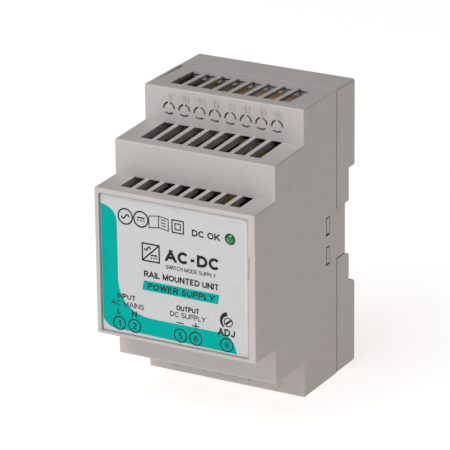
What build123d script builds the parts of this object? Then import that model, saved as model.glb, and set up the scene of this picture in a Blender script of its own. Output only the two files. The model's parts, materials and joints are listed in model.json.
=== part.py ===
"""Modular power supply for a 35 mm DIN rail, built as separate pieces.

Frame, in millimetres: the origin is on the rail's front face, on its centre line.
+Y points at the wall, -Y at the user, +Z up, and +X to the user's right.
"""
from build123d import *
import os
from math import radians, tan

# ------------------------------------------------------------------ driving dimensions
WIDTH = 53.0                    # three 17.5 mm modules
HEIGHT = 90.0                   # modular enclosure height
PITCH = 5.13                    # terminal pitch
ROW_X = -0.25                   # middle of each terminal row
POSITIONS = 8                   # terminal positions in each row
TERMINAL_Z = 38.65              # height of each terminal row's screw axes above the centre

FRONT_Y = -58.5                 # front frame
MIDDLE_Y = -46.2                # front of the middle step
OUTER_Y = -28.5                 # front of the outer step
SPLIT_Y = -7.8                  # joint between the front housing and the rear base
SPLIT_GAP = 0.55                # width of the groove at that joint
BACK_Y = 4.0                    # rear face of the blocks above and below the rail
FRONT_TOP = (22.4, 22.6)        # top of the front step at its front and back
FRONT_LOW = (-23.1, -23.3)      # underside of the front step at its front and back
MIDDLE_TOP = (33.4, 34.0)       # top of the middle step at its front and back
MIDDLE_LOW = (-34.0, -34.3)     # underside of the middle step at its front and back

WALL = 1.6                      # walls of the steps
SIDE_WALL = 1.8                 # side walls
TOP_WALL = 1.6                  # walls at the very top and bottom
EDGE_R = 0.45                   # rounding of the housing's outer edges
BASE_R = (0.8, 0.35)            # rounding of the base's corner edges and rear edges

HALF_W = WIDTH / 2
HALF_H = HEIGHT / 2
INNER_X = HALF_W - SIDE_WALL
INNER_Z = HALF_H - TOP_WALL

# Ventilation slots and terminal openings
SLOT_W = 3.6
POCKET = 0.45                   # depth of the pockets behind the outer slots
POCKET_HALF_W = 22.4
OUTER_SLOT = (-24.3, -10.5)
MIDDLE_SLOT = (-42.2, OUTER_Y)
FRONT_SLOT = (-54.4, MIDDLE_Y)
HOLE_R = 2.05                   # screwdriver holes and knock-out discs
KNOCKOUT_LINE = 0.6             # width of the line around a knock-out disc
OPEN_HOLES = (1, 2, 5, 6, 8)    # positions in the lower row that are open

# Front panel and its seat
PANEL_X = (-24.95, 24.1)
PANEL_Z = (-22.1, 20.9)
PANEL_Y = (-57.6, -56.1)
PANEL_GAP = 0.1
SEAT_X = 22.5
SEAT_Z = 19.5
SEAT_BACK_Y = -54.6
LABEL_X = (-24.75, 23.7)
LABEL_Z = (-21.8, 20.6)
LABEL_T = 0.2
LED_X, LED_Z = 18.0, 13.7
LED_R = 1.6
LED_HOLE_R = 1.75

# Snap joints between the housing and the base
TAB_Z = (-7.7, 7.9)             # tab of each side wall that reaches back past the split
TAB_Y = -2.5
TAB_GAP = (0.35, 0.1)           # gap below and above that tab
SNAP_WINDOW_Y = (-14.8, -12.2)
SNAP_WINDOWS_Z = ((-8.0, -2.0), (1.3, 7.2))
SNAP_RECESS = 0.12              # how far the snap teeth lie under the side faces
SNAP_STEP = 0.8                 # how much lower a tooth is at its front
SNAP_END_GAP = 0.6              # gap at each end of a tooth
ARM_X = (23.4, 24.6)

# Rail seat, hooks and clip
LEDGE_TOP_Z = 18.3
LEDGE_LOW_Z = -17.3
LEDGE_NOSE_Z = -18.75           # height of the lower block's rounded nose at the back
NOSE_R = 1.5
HOOK_X = (10.0, 18.0)
CLIP_W = 18.0
CLIP_Y = (0.4, 3.6)
CLIP_TOP_Z = -15.8
CLIP_LOW_Z = -47.5
CLIP_RUN = 0.15                 # sideways play of the clip in its channel
FLANGE = 1.1                    # guide flanges of the clip
FLANGE_Y = (1.5, 2.5)
CLIP_WINDOW_Z = (-40.0, -24.0)
POST_Z = (-39.7, -37.0)
SPRING_R = 1.2                  # middle of the wire
SPRING_WIRE = 0.4
SPRING_TURNS = 8

# Boards
BOARD_FRONT = -7.2
BOARD_T = 1.6
BOARD_X = 24.3
BOARD_Z = 41.8
CONTROL_X = (20.4, 22.0)

# Screw terminals (M2.5 screws that lift a cage)
SCREW_R = 1.25
HEAD_R = 2.0
HEAD_Y = (-24.0, -22.2)
SCREW_TIP_Y = -16.15
CAGE_X = 1.95
CAGE_Z = (-41.1, -36.2)
CAGE_Y = (-18.6, -10.8)
BLOCK_Y = (-25.6, BOARD_FRONT)
BLOCK_Z = (-42.0, -33.5)
SCREW_TURN = {1: 20, 2: -35, 5: 62, 6: 8}   # how far each screw head is turned at rest, degrees

# Trimmer
TRIMMER_POSITION = 8
TRIMMER_SIDE = 6.6
TRIMMER_H = 4.8
ROTOR_R = 2.0

# Transformer
CORE_X, CORE_Z = 7.2, 10.5
CORE_Y = (-37.2, -11.2)
CORE_T = 7.0
CORE_HALF = 15.0
YOKE = 4.6
LEG = 4.0
CENTRE_LEG = 3.6
TAPE_T = 0.25
TAPE_W = 5.6


# ------------------------------------------------------------------ shape helpers
def block(x, y, z):
    """A box between three (low, high) pairs."""
    size = (x[1] - x[0], y[1] - y[0], z[1] - z[0])
    return Pos(x[0], y[0], z[0]) * Box(*size, align=(Align.MIN, Align.MIN, Align.MIN))


def prism(points, x):
    """A side profile of (y, z) points carried along X between two limits."""
    face = Plane.YZ.offset(x[0]) * make_face(Polyline(*points, close=True))
    return extrude(face, x[1] - x[0], dir=(1, 0, 0))


def facing(sketch, y):
    """A sketch drawn as the front shows it, given a depth along Y."""
    return extrude(Plane.XZ.offset(-y[1]) * sketch, y[1] - y[0], dir=(0, -1, 0))


def plate(x, z, radius, y):
    """A plate facing the front, with rounded corners."""
    middle = Pos((x[0] + x[1]) / 2, (z[0] + z[1]) / 2)
    return facing(middle * RectangleRounded(x[1] - x[0], z[1] - z[0], radius), y)


def rod(x, z, radius, y):
    """A round bar along Y."""
    return facing(Pos(x, z) * Circle(radius), y)


def cross_rod(y, z, radius, x):
    """A round bar along X."""
    return Pos((x[0] + x[1]) / 2, y, z) * Rot(0, 90, 0) * Cylinder(radius, x[1] - x[0])


def upright(x, y, radius, z):
    """A round bar along Z."""
    return Pos(x, y, (z[0] + z[1]) / 2) * Cylinder(radius, z[1] - z[0])


def around(centre, half):
    """The (low, high) pair of a span about its centre."""
    return (centre - half, centre + half)


def both_sides(x):
    """A (low, high) pair on the right, and the same one on the left."""
    return [x, (-x[1], -x[0])]


def standing(height):
    """The Y limits of something that stands on the main board."""
    return (BOARD_FRONT - height, BOARD_FRONT)


def position_x(number):
    """The X of a terminal position, 1 to 8 from the left."""
    return (number - (POSITIONS + 1) / 2) * PITCH + ROW_X


# ------------------------------------------------------------------ enclosure
def stepped_outline():
    """The outside of the front housing, seen from the side."""
    back = SPLIT_Y - SPLIT_GAP / 2
    return [
        (back, HALF_H), (OUTER_Y, HALF_H),
        (OUTER_Y, MIDDLE_TOP[1]), (MIDDLE_Y, MIDDLE_TOP[0]),
        (MIDDLE_Y, FRONT_TOP[1]), (FRONT_Y, FRONT_TOP[0]),
        (FRONT_Y, FRONT_LOW[0]), (MIDDLE_Y, FRONT_LOW[1]),
        (MIDDLE_Y, MIDDLE_LOW[0]), (OUTER_Y, MIDDLE_LOW[1]),
        (OUTER_Y, -HALF_H), (back, -HALF_H),
    ]


def stepped_cavity():
    """The inside of the front housing, seen from the side."""
    outer, middle = OUTER_Y + WALL, MIDDLE_Y + WALL
    return [
        (SPLIT_Y + WALL, INNER_Z), (outer, INNER_Z),
        (outer, MIDDLE_TOP[0] - WALL), (middle, MIDDLE_TOP[0] - WALL),
        (middle, FRONT_TOP[0] - WALL), (SEAT_BACK_Y, FRONT_TOP[0] - WALL),
        (SEAT_BACK_Y, FRONT_LOW[0] + WALL), (middle, FRONT_LOW[0] + WALL),
        (middle, MIDDLE_LOW[0] + WALL), (outer, MIDDLE_LOW[0] + WALL),
        (outer, -INNER_Z), (SPLIT_Y + WALL, -INNER_Z),
    ]


def knockout_line():
    """Three arcs round a disc, with bridges at the top, lower left and lower right."""
    ring = Circle(HOLE_R) - Circle(HOLE_R - KNOCKOUT_LINE)
    for angle, width in ((90, 0.7), (207, 1.1), (333, 1.1)):
        ring -= Rot(0, 0, angle) * Pos(HOLE_R, 0) * Rectangle(2 * HOLE_R, width)
    return ring


def terminal_face_cuts():
    """Knock-outs of the upper row, and knock-outs and open holes of the lower row."""
    depth = (OUTER_Y - 1, OUTER_Y + WALL + 1)
    cuts = []
    for number in range(1, POSITIONS + 1):
        x = position_x(number)
        cuts.append(facing(Pos(x, TERMINAL_Z) * knockout_line(), depth))
        lower = Circle(HOLE_R) if number in OPEN_HOLES else knockout_line()
        cuts.append(facing(Pos(x, -TERMINAL_Z) * lower, depth))
    return cuts


def slot_cuts():
    """Eight slots through the top and the bottom of each step, run in under the next step's face."""
    reach = WALL + 1
    levels = []
    for y, top, low in (
        (OUTER_SLOT, (HALF_H, HALF_H), (-HALF_H, -HALF_H)),
        (MIDDLE_SLOT, MIDDLE_TOP, MIDDLE_LOW),
        (FRONT_SLOT, FRONT_TOP, FRONT_LOW),
    ):
        levels.append((y, (top[0] - reach, top[1] + 1)))
        levels.append((y, (low[1] - 1, low[0] + reach)))
        if y is not OUTER_SLOT:
            under = (y[1] - 0.1, y[1] + reach)
            levels.append((under, (top[0] - reach, top[1])))
            levels.append((under, (low[1], low[0] + reach)))
    return [
        block(around(position_x(number), SLOT_W / 2), y, z)
        for number in range(1, POSITIONS + 1) for y, z in levels
    ]


def slot_pockets():
    """Shallow pockets inside the top and bottom walls, which thin the bars between the slots."""
    y = (OUTER_SLOT[0] - 1, OUTER_SLOT[1] + 1)
    level = (INNER_Z - 0.1, INNER_Z + POCKET)
    return [block(around(0, POCKET_HALF_W), y, z) for z in both_sides(level)]


def sloped_recess():
    """A shallow wedge that lowers the outer surface towards the split, inside two rims."""
    start_y, deep, rim = -24.5, 0.6, 1.2
    end_y = SPLIT_Y + 1
    wedge = [(start_y, HALF_H), (end_y, HALF_H - deep), (end_y, HALF_H + 1), (start_y, HALF_H + 1)]
    upper = prism(wedge, around(0, HALF_W - rim))
    return [upper, mirror(upper, about=Plane.XY)]


def front_housing():
    """The stepped shell that carries the terminals' openings and the front panel."""
    outer = prism(stepped_outline(), around(0, HALF_W))
    split_y = SPLIT_Y - SPLIT_GAP / 2
    side_edges = outer.edges().filter_by(
        lambda e: abs(e.center().X) > HALF_W - 0.01 and e.center().Y < split_y - 0.01)
    convex = (
        (OUTER_Y, HALF_H), (MIDDLE_Y, MIDDLE_TOP[0]), (FRONT_Y, FRONT_TOP[0]),
        (OUTER_Y, -HALF_H), (MIDDLE_Y, MIDDLE_LOW[0]), (FRONT_Y, FRONT_LOW[0]),
    )
    cross_edges = outer.edges().filter_by(Axis.X).filter_by(
        lambda e: any(abs(e.center().Y - y) + abs(e.center().Z - z) < 0.01 for y, z in convex))
    shell = fillet(side_edges + cross_edges, EDGE_R)
    for x in both_sides((INNER_X, HALF_W)):
        shell += block(x, (split_y - 1, TAB_Y), TAB_Z)
    shell -= prism(stepped_cavity(), around(0, INNER_X))
    seat_x = (PANEL_X[0] - PANEL_GAP, PANEL_X[1] + PANEL_GAP)
    seat_z = (PANEL_Z[0] - PANEL_GAP, PANEL_Z[1] + PANEL_GAP)
    shell -= plate(seat_x, seat_z, 0.5, (FRONT_Y - 1, PANEL_Y[1]))
    shell -= plate(around(0, SEAT_X), around(0, SEAT_Z), 1.0, (FRONT_Y, SEAT_BACK_Y + 1))
    shell -= block((PANEL_X[1], PANEL_X[1] + 0.6), (FRONT_Y - 1, PANEL_Y[0] + 1), (2.8, 9.6))
    for x in both_sides((INNER_X - 1, HALF_W + 1)):
        for z in SNAP_WINDOWS_Z:
            shell -= block(x, SNAP_WINDOW_Y, z)
    shell -= terminal_face_cuts() + slot_cuts() + slot_pockets() + sloped_recess()
    for x in both_sides((INNER_X - 1.8, INNER_X)):
        for z in both_sides((35.4, 36.6)):
            shell += block(x, (OUTER_Y + WALL - 0.1, BOARD_FRONT - 0.1), z)
    return shell


def base_outline():
    """The outside of the rear base, seen from the side, with the rail's recess."""
    front = SPLIT_Y + SPLIT_GAP / 2
    return [
        (front, HALF_H), (BACK_Y, HALF_H),
        (BACK_Y, LEDGE_TOP_Z), (0, LEDGE_TOP_Z),
        (0, TAB_Z[1] + TAB_GAP[1]), (TAB_Y, TAB_Z[1] + TAB_GAP[1]),
        (TAB_Y, TAB_Z[0] - TAB_GAP[0]), (0, -9.0),
        (0, LEDGE_LOW_Z), (BACK_Y, LEDGE_NOSE_Z),
        (BACK_Y, -HALF_H), (front, -HALF_H),
    ]


def base_cavity():
    """The inside of the rear base, one wall in from its outline."""
    open_y = SPLIT_Y - 1
    back = BACK_Y - SIDE_WALL
    ledge = -SIDE_WALL
    middle = TAB_Y - TOP_WALL
    return [
        (open_y, INNER_Z), (back, INNER_Z),
        (back, LEDGE_TOP_Z + SIDE_WALL), (ledge, LEDGE_TOP_Z + SIDE_WALL),
        (ledge, 9.9), (middle, 9.9),
        (middle, -9.7), (ledge, -10.6),
        (ledge, -19.5), (back, -21.6),
        (back, -INNER_Z), (open_y, -INNER_Z),
    ]


def hook_profile():
    """The fixed hook that grips the upper edge of the rail, seen from the side."""
    return [
        (1.2, LEDGE_TOP_Z + 0.2), (BACK_Y, LEDGE_TOP_Z + 0.2),
        (BACK_Y, 17.2), (2.6, 15.8), (1.2, 15.8),
    ]


def snap_arm(x, z):
    """One snap arm on the right-hand side, with the tooth that fills its window."""
    y_low = SNAP_WINDOW_Y[0] - 0.4
    low, high = z[0] + SNAP_END_GAP, z[1] - SNAP_END_GAP
    arm = block(ARM_X, (y_low, TAB_Y - TOP_WALL + 0.5), (low, high))
    tip = HALF_W - SNAP_RECESS
    root = ARM_X[1] - 0.2
    front, back = SNAP_WINDOW_Y[0] + 0.1, SNAP_WINDOW_Y[1] - 0.15
    tooth = [
        (root, front), (tip - SNAP_STEP, front), (tip - SNAP_STEP, front + 0.7),
        (tip, front + 0.9), (tip, back), (root, back),
    ]
    face = make_face(Polyline(*tooth, close=True))
    arm += extrude(Pos(0, 0, low) * face, high - low, dir=(0, 0, 1))
    return arm if x > 0 else mirror(arm, about=Plane.YZ)


def clip_channel_cuts():
    """The channel that the rail clip slides in, with a groove down each side."""
    half = CLIP_W / 2 + CLIP_RUN
    low = -HALF_H - 1
    channel = block(around(0, half), (CLIP_Y[0] - 0.2, BACK_Y + 1), (low, CLIP_TOP_Z))
    grooves = block(around(0, half + FLANGE), (FLANGE_Y[0] - 0.1, FLANGE_Y[1] + 0.1), (low, -20.9))
    return [channel, grooves]


def spring_seat():
    """The post that the clip spring pushes against, with its locating peg."""
    middle_y = sum(CLIP_Y) / 2
    post = block(around(0, 1.75), (0, CLIP_Y[1]), POST_Z)
    return post + upright(0, middle_y, 0.8, (POST_Z[1] - 0.5, POST_Z[1] + 1.5))


def rear_base():
    """The shell behind the board: rail seat, fixed hooks, clip channel and snap arms."""
    outer = prism(base_outline(), around(0, HALF_W))
    corners = outer.edges().filter_by(Axis.Y).filter_by(lambda e: abs(e.center().Z) > HALF_H - 0.01)
    outer = fillet(corners, BASE_R[0])
    nose = outer.edges().filter_by(Axis.X).filter_by(
        lambda e: abs(e.center().Y - BACK_Y) + abs(e.center().Z - LEDGE_NOSE_Z) < 0.01)
    outer = fillet(nose, NOSE_R)
    rear = outer.edges().filter_by(
        lambda e: e.center().Y > BACK_Y - 0.01 and abs(e.center().Z) > LEDGE_TOP_Z + 2)
    outer = fillet(rear, BASE_R[1])
    bed = block(around(0, CLIP_W / 2 + 3.2), (-1.4, BACK_Y + 1), (-HALF_H, -17.0))
    shell = outer - (prism(base_cavity(), around(0, INNER_X)) - bed)
    for x in both_sides((ARM_X[1], HALF_W + 1)):
        shell -= block(x, (SPLIT_Y - 1, TAB_Y + 0.1), (TAB_Z[0] - TAB_GAP[0], TAB_Z[1] + TAB_GAP[1]))
    for x in both_sides((HOOK_X[0] - 0.3, HOOK_X[1] + 0.3)):
        shell -= block(x, (-3.0, 0.5), (15.4, LEDGE_TOP_Z))
    for x in both_sides(HOOK_X):
        shell += prism(hook_profile(), x)
    shell -= clip_channel_cuts()
    shell += spring_seat()
    for z in both_sides((42.05, INNER_Z + 0.2)):
        shell += block(around(0, 22.0), (SPLIT_Y + SPLIT_GAP / 2, -4.0), z)
    for z in both_sides((42.05, INNER_Z - 0.15)):
        shell += block(around(0, 22.0), (-10.0, -7.0), z)
    for x in (-21.0, 21.0):
        for z in (-38.0, 38.0):
            shell += rod(x, z, 1.8, (BOARD_FRONT + BOARD_T, BACK_Y - SIDE_WALL + 0.1))
    for side in (-1, 1):
        for z in SNAP_WINDOWS_Z:
            shell += snap_arm(side, z)
    return shell


def front_panel():
    """The plain cover that snaps into the front frame, with the hole for the lamp."""
    panel = plate(PANEL_X, PANEL_Z, 0.4, PANEL_Y)
    for z in both_sides((18.2, 19.4)):
        for x in both_sides((8.0, 12.0)):
            panel += block(x, (PANEL_Y[1] - 0.1, -52.6), z)
    return panel - rod(LED_X, LED_Z, LED_HOLE_R, (FRONT_Y, SEAT_BACK_Y))


def front_label():
    """The printed film stuck on the front panel."""
    label = plate(LABEL_X, LABEL_Z, 0.8, (PANEL_Y[0] - LABEL_T, PANEL_Y[0]))
    return label - rod(LED_X, LED_Z, LED_HOLE_R, (FRONT_Y, PANEL_Y[1]))


# ------------------------------------------------------------------ rail clip
def rail_clip():
    """The sliding foot: a nose behind the rail, guide flanges and a slotted tail."""
    front, back = CLIP_Y
    side = [
        (front, CLIP_LOW_Z), (back, CLIP_LOW_Z), (back, -17.9), (2.2, CLIP_TOP_Z),
        (1.15, CLIP_TOP_Z), (1.15, -17.7), (front, -17.7),
    ]
    clip = prism(side, around(0, CLIP_W / 2))
    clip += block(around(0, CLIP_W / 2 + FLANGE - 0.1), FLANGE_Y, (-44.8, -21.0))
    clip -= block(around(0, 1.9), (0, BACK_Y), CLIP_WINDOW_Z)
    clip -= block(around(0, 2.75), (0, BACK_Y), (-46.7, -45.5))
    peg_z = (CLIP_WINDOW_Z[1] - 1.5, CLIP_WINDOW_Z[1] + 0.5)
    return clip + upright(0, sum(CLIP_Y) / 2, 0.8, peg_z)


def clip_spring():
    """The compression spring between the base's post and the clip's window."""
    half_wire = SPRING_WIRE / 2
    low = POST_Z[1] + half_wire
    height = CLIP_WINDOW_Z[1] - half_wire - low
    path = Helix(pitch=height / SPRING_TURNS, height=height, radius=SPRING_R)
    section = Plane(origin=path @ 0, z_dir=path % 0) * Circle(half_wire)
    return Pos(0, sum(CLIP_Y) / 2, low) * sweep(section, path=path, is_frenet=True)


# ------------------------------------------------------------------ boards
def main_board():
    """The main board, with two rows of unused terminal holes across the top."""
    back = BOARD_FRONT + BOARD_T
    board = plate(around(0, BOARD_X), around(0, BOARD_Z), 0.5, (BOARD_FRONT, back))
    holes = []
    for x in both_sides((ARM_X[0] - 0.3, BOARD_X + 1)):
        holes.append(block(x, (BOARD_FRONT - 1, back + 1), around(0, 9.2)))
    for number in range(1, POSITIONS + 1):
        for z in (TERMINAL_Z, TERMINAL_Z - PITCH, -35.0):
            holes.append(rod(position_x(number), z, 0.8, (BOARD_FRONT - 1, back + 1)))
    return board - holes


def control_board():
    """The upright board that carries the controller and the lamp."""
    outline = [
        (BOARD_FRONT, -19), (BOARD_FRONT, 30), (-43, 30),
        (-43, 18.5), (-51, 18.5), (-51, -19),
    ]
    return prism(outline, CONTROL_X)


def board_header():
    """The strip that joins the two boards."""
    return block((17.9, CONTROL_X[0]), standing(2.5), (-8.0, 4.0)) - header_holes()


def header_pin_z():
    """The heights of the header's five pins."""
    return [-7.08 + PITCH / 2 * i for i in range(5)]


def header_holes():
    """Round holes for the header's pins."""
    return [rod(19.1, z, 0.4, (-11.0, -6.0)) for z in header_pin_z()]


def header_pins():
    """Five pins standing through the header strip."""
    return [rod(19.1, z, 0.35, (-11.0, BOARD_FRONT)) for z in header_pin_z()]


# ------------------------------------------------------------------ screw terminals
def terminal_block(positions):
    """The insulating body of one two-pole terminal."""
    xs = [position_x(n) for n in positions]
    body = block((xs[0] - PITCH / 2, xs[-1] + PITCH / 2), BLOCK_Y, BLOCK_Z)
    low_z = CAGE_Z[0] - 0.3
    high_z = CAGE_Z[1] + 0.3
    for x in xs:
        body -= rod(x, -TERMINAL_Z, HEAD_R + 0.1, (BLOCK_Y[0] - 1, HEAD_Y[1] + 0.1))
        body -= rod(x, -TERMINAL_Z, SCREW_R + 0.1, (HEAD_Y[0], -20.0))
        body -= block(around(x, CAGE_X + 0.1), (-21.1, BLOCK_Y[1] + 1), (low_z, high_z))
        body -= block(around(x, 1.75), (-17.0, -11.4), (BLOCK_Z[0] - 1, low_z + 1))
        body -= block(around(x, 1.3), (-16.1, BLOCK_Y[1] + 1), (high_z - 1, -34.5))
    return body


def terminal_screw(number):
    """A captive M2.5 screw with a slot and a short cross slot in its head."""
    head = rod(0, 0, HEAD_R, HEAD_Y)
    slot_y = (HEAD_Y[0] - 1, HEAD_Y[0] + 0.9)
    head -= block(around(0, HEAD_R + 1), slot_y, around(0, 0.3))
    head -= block(around(0, 0.3), slot_y, around(0, 1.2))
    shank = rod(0, 0, SCREW_R, (HEAD_Y[1] - 0.1, SCREW_TIP_Y))
    screw = Rot(0, SCREW_TURN[number], 0) * (head + shank)
    return Pos(position_x(number), 0, -TERMINAL_Z) * screw


def terminal_cage(number):
    """The nut cage that the screw lifts, which clamps the wire under the busbar."""
    x = position_x(number)
    cage = block(around(x, CAGE_X), CAGE_Y, CAGE_Z)
    cage -= block(around(x, CAGE_X - 0.5), (CAGE_Y[0] + 1.5, CAGE_Y[1] - 0.7), (CAGE_Z[0] - 1, CAGE_Z[1] + 1))
    return cage - rod(x, -TERMINAL_Z, SCREW_R + 0.05, (CAGE_Y[0] - 1, CAGE_Y[0] + 2))


def terminal_contacts():
    """Four busbars, each bent down to a pin in the board."""
    parts = []
    for number in SCREW_TURN:
        x = position_x(number)
        blade = block(around(x, 1.2), (-16.0, -15.2), (-41.2, -34.6))
        pin = block(around(x, 0.5), (-15.3, BOARD_FRONT + BOARD_T + 1), (-35.4, -34.6))
        parts.append(blade + pin)
    return parts


# ------------------------------------------------------------------ trimmer
def trimmer_body():
    """The square body of the output voltage trimmer, with the rotor's well."""
    x = position_x(TRIMMER_POSITION)
    half = TRIMMER_SIDE / 2
    body = plate(around(x, half), around(-TERMINAL_Z, half), 0.4, standing(TRIMMER_H))
    top = BOARD_FRONT - TRIMMER_H
    return body - rod(x, -TERMINAL_Z, ROTOR_R + 0.1, (top - 1, top + 1.8))


def trimmer_rotor():
    """The slotted rotor that a screwdriver turns."""
    x = position_x(TRIMMER_POSITION)
    top = BOARD_FRONT - TRIMMER_H
    rotor = rod(x, -TERMINAL_Z, ROTOR_R, (top - 0.6, top + 1.6))
    return rotor - block(around(x, 0.3), (top - 2, top + 0.3), around(-TERMINAL_Z, 1.5))


# ------------------------------------------------------------------ parts on the boards
def can(x, z, radius, height):
    """An electrolytic capacitor with a rounded top and a crimp ring."""
    body = rod(x, z, radius, standing(height))
    top = body.edges().filter_by(lambda e: e.center().Y < BOARD_FRONT - height + 0.01)
    body = fillet(top, 0.6)
    crimp = (BOARD_FRONT - 2.6, BOARD_FRONT - 1.8)
    return body - (rod(x, z, radius + 1, crimp) - rod(x, z, radius - 0.3, crimp))


def disc(x, z, radius, thickness):
    """A coated disc standing on two leads."""
    y = BOARD_FRONT - 1.2 - radius
    body = cross_rod(y, z, radius, around(x, thickness / 2))
    body = fillet(body.edges().filter_by(GeomType.CIRCLE), thickness / 4)
    for side in (-1, 1):
        body += rod(x, z + side * radius / 2, 0.3, (y, BOARD_FRONT))
    return body


def box_part(x, z, height, radius=0.6):
    """A moulded or potted box standing on the board, with rounded edges."""
    body = block(x, standing(height), z)
    keep = body.edges().filter_by(lambda e: e.center().Y < BOARD_FRONT - 0.01)
    return fillet(keep, radius)


def power_package(x, back_z, base_y):
    """A tab-mounted power package: plastic body, metal tab with its hole, three leads."""
    tab_t, body_t, body_h, tab_h = 1.3, 4.5, 9.0, 15.6
    package = block(around(x, 5), (base_y - tab_h, base_y), (back_z - tab_t, back_z))
    package += block(around(x, 5), (base_y - body_h, base_y), (back_z - body_t, back_z - tab_t))
    package -= upright(x, tab_hole_y(base_y), 1.9, (back_z - 3, back_z + 1))
    for step in (-1, 0, 1):
        lead_x = around(x + step * PITCH / 2, 0.4)
        package += block(lead_x, (base_y - 0.1, BOARD_FRONT), around(back_z - 2.6, 0.25))
    return package


def tab_hole_y(base_y):
    """Where the fixing hole of a power package is."""
    return base_y - 12.6


TRANSISTOR = dict(x=10.0, back_z=33.2, base_y=-10.2)
RECTIFIER = dict(x=4.0, back_z=-8.8, base_y=-12.2)
PAD_T = 0.2
SINK_T = 1.5


def insulating_pad(place):
    """The thin pad between a power package and its heat sink."""
    z = (place["back_z"], place["back_z"] + PAD_T)
    pad = block(around(place["x"], 5.5), (place["base_y"] - 15.6, place["base_y"] + 0.5), z)
    return pad - upright(place["x"], tab_hole_y(place["base_y"]), 1.7, around(z[0], 2))


def heat_sink(place, x, top_y):
    """A sheet heat sink with one bent edge, drilled for its package."""
    low = place["back_z"] + PAD_T
    sink = block(x, (top_y, BOARD_FRONT), (low, low + SINK_T))
    sink += block((x[0], x[0] + SINK_T), (top_y, BOARD_FRONT - 3), (low - 2.5, low + SINK_T))
    return sink - upright(place["x"], tab_hole_y(place["base_y"]), 1.6, around(low, 4))


def heatsink_screws():
    """One screw and nut through each power package and its heat sink."""
    screws = []
    for place in (TRANSISTOR, RECTIFIER):
        y = tab_hole_y(place["base_y"])
        head_z = place["back_z"] - 1.3
        far_z = place["back_z"] + PAD_T + SINK_T
        screw = upright(place["x"], y, 1.5, (head_z - 0.5, far_z + 2.2))
        screw += upright(place["x"], y, 2.7, (head_z - 1.8, head_z))
        nut = Pos(place["x"], y, far_z) * extrude(RegularPolygon(3.1, 6), 2.0)
        screws.append(screw + nut)
    return screws


def common_mode_core():
    """The ferrite ring of the mains filter choke."""
    ring = Pos(-14.5, -3.5) * (Circle(7.5) - Circle(3.5))
    return facing(ring, (BOARD_FRONT - 9.8, BOARD_FRONT - 1.0))


def common_mode_windings():
    """The two windings, one on each half of the ring."""
    around_ring = Circle(8.1) - Circle(2.9)
    reach = 20
    rise = reach * tan(radians(65))
    windings = []
    for side in (-1, 1):
        wedge = make_face(Polyline((0, 0), (side * reach, rise), (side * reach, -rise), close=True))
        half = facing(Pos(-14.5, -3.5) * (around_ring & wedge), (BOARD_FRONT - 10.4, BOARD_FRONT - 0.4))
        windings.append(half - common_mode_core())
    return windings


def bridge_rectifier():
    """The flat four-lead bridge, standing on its leads."""
    body = block((-21.8, -7.3), (BOARD_FRONT - 14.0, BOARD_FRONT - 3.0), (6.7, 10.3))
    body = chamfer(body.edges().filter_by(Axis.Z).sort_by(Axis.Y)[0], 2.0)
    for step in range(4):
        body += block(around(-20.3 + 3.83 * step, 0.5), (BOARD_FRONT - 3.1, BOARD_FRONT), (8.2, 8.8))
    return body


def output_choke_core():
    """A ferrite drum."""
    x, z = 15.8, -14.5
    drum = rod(x, z, 2.6, standing(12.0))
    return drum + rod(x, z, 4.0, standing(1.4)) + rod(x, z, 4.0, (BOARD_FRONT - 12.0, BOARD_FRONT - 10.6))


def output_choke_winding():
    """The coil on the drum."""
    ring = Pos(15.8, -14.5) * (Circle(3.7) - Circle(2.65))
    return facing(ring, (BOARD_FRONT - 10.5, BOARD_FRONT - 1.5))


def control_chip():
    """The controller on the upright board, with its gull-wing leads."""
    chip = block((18.9, 20.25), (-40.5, -35.5), (8.0, 12.0))
    for step in range(4):
        lead_y = around(-39.9 + 1.27 * step, 0.2)
        for z in ((6.9, 8.1), (11.9, 13.1)):
            chip += block((20.2, CONTROL_X[0]), lead_y, z)
    return chip


def chip_components():
    """Small chip resistors and capacitors in two columns on the upright board."""
    x = (CONTROL_X[0] - 0.6, CONTROL_X[0])
    parts = []
    for row in range(6):
        for column in range(2):
            y = -32.0 + 3.0 * row
            z = 6.0 + 8.0 * column
            parts.append(block(x, around(y, 0.625), around(z, 1.0)))
    return parts


def status_led():
    """The 3 mm lamp: a flanged barrel with a dome."""
    barrel_y = (-56.8, -53.6)
    led = rod(LED_X, LED_Z, LED_R, barrel_y)
    led += rod(LED_X, LED_Z, 1.95, (-54.6, -53.6))
    return led + Pos(LED_X, barrel_y[0], LED_Z) * Sphere(LED_R)


def led_leads():
    """The lamp's two leads, bent across to the upright board."""
    leads = []
    for side in (-1, 1):
        z = around(LED_Z + side * PITCH / 4, 0.25)
        lead = block(around(LED_X, 0.25), (-53.6, -47.5), z)
        leads.append(lead + block((LED_X - 0.25, CONTROL_X[0]), (-48.0, -47.5), z))
    return leads


# ------------------------------------------------------------------ transformer
def transformer_core():
    """Two ferrite E halves closed into one frame with a centre leg."""
    core = block(around(CORE_X, CORE_T / 2), CORE_Y, around(CORE_Z, CORE_HALF))
    window_y = (CORE_Y[0] + YOKE, CORE_Y[1] - YOKE)
    for z in both_sides((CENTRE_LEG, CORE_HALF - LEG)):
        core -= block(around(CORE_X, CORE_T), window_y, (CORE_Z + z[0], CORE_Z + z[1]))
    return core


def leg_hole(grow):
    """The centre leg's outline, grown all round."""
    return Rectangle(CORE_T + 2 * grow, 2 * (CENTRE_LEG + grow))


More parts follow.
